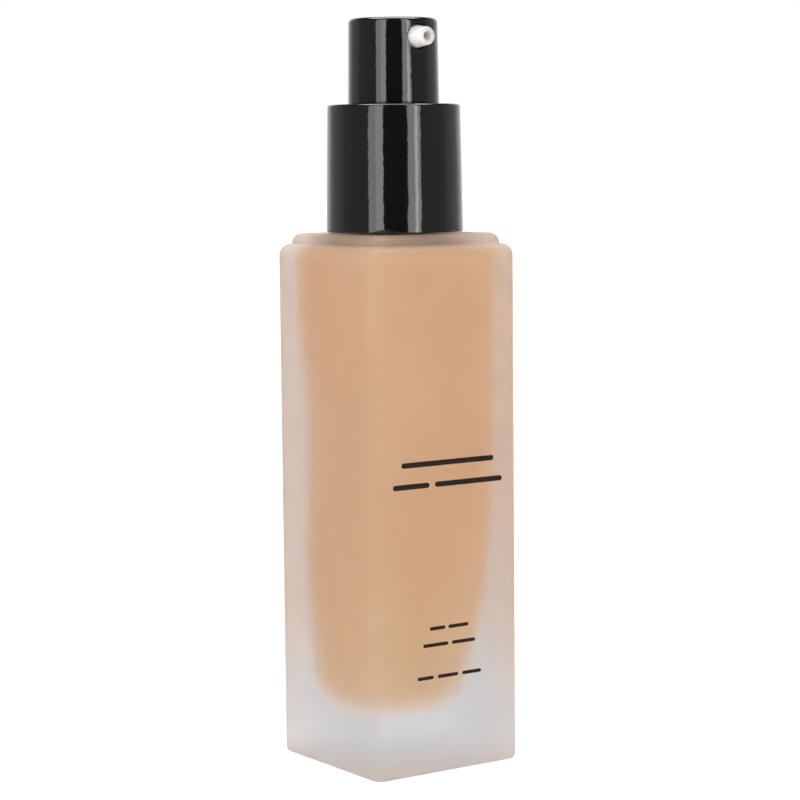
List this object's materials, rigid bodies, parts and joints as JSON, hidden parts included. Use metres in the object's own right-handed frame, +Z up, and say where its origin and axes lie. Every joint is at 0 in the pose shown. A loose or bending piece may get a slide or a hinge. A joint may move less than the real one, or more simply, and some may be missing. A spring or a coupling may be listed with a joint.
{
  "type": "foundation bottle",
  "caption": "Square frosted glass foundation bottle with a raised square shoulder tier, tapered black collar, press-down pump head and side nozzle.",
  "frame": {"origin": "centre of the bottle's underside, on the axis of the bottle and its pump", "axes": "+Z up along the bottle; -Y out of the printed face, the way the nozzle points at rest; +X to the right of that face"},
  "size_m": [0.03, 0.03, 0.1273],
  "materials": {
    "frosted_glass": "satin",
    "foundation": "satin",
    "black_gloss_plastic": "gloss",
    "black_plastic": "satin",
    "white_plastic": "satin",
    "translucent_plastic": "satin",
    "seal_rubber": "matte",
    "spring_steel": "polished"
  },
  "bodies": {
    "bottle": {"glass_bottle": "frosted_glass", "foundation_fill": "foundation"},
    "pump": {"pump_housing": "translucent_plastic", "chaplet": "translucent_plastic", "neck_gasket": "seal_rubber", "dip_tube": "translucent_plastic", "return_spring": "spring_steel"},
    "closure": {"screw_cap": "black_plastic", "collar_sleeve": "black_gloss_plastic"},
    "stem": {"stem": "white_plastic", "piston_seat": "white_plastic"},
    "piston": {"piston": "seal_rubber"},
    "ball": {"check_ball": "spring_steel"},
    "head": {"actuator_shell": "black_gloss_plastic", "actuator_core": "white_plastic", "nozzle": "white_plastic"}
  },
  "joints": [
    {"name": "pump_lift", "type": "slide", "parent": "bottle", "child": "pump", "axis": [0, 0, 1], "range_m": [0, 0.00476]},
    {"name": "closure_turn", "type": "hinge", "parent": "pump", "child": "closure", "pos_m": [0, 0, 0.1], "axis": [0, 0, 1], "range_deg": [0, 540]},
    {"name": "head_press", "type": "slide", "parent": "pump", "child": "stem", "axis": [0, 0, 1], "range_m": [-0.0055, 0], "stiffness_N_per_m": 900, "springref_m": 0.005, "deforming": ["return_spring"]},
    {"name": "piston_slip", "type": "slide", "parent": "stem", "child": "piston", "axis": [0, 0, 1], "range_m": [0, 0.0006]},
    {"name": "head_spin", "type": "hinge", "parent": "stem", "child": "head", "pos_m": [0, 0, 0.119], "axis": [0, 0, 1], "continuous": true},
    {"name": "ball_lift", "type": "slide", "parent": "pump", "child": "ball", "axis": [0, 0, 1], "range_m": [0, 0.001]}
  ],
  "couplings": [
    {"joint": "closure_turn", "follows": "pump_lift", "rad_per_m": 1979}
  ]
}
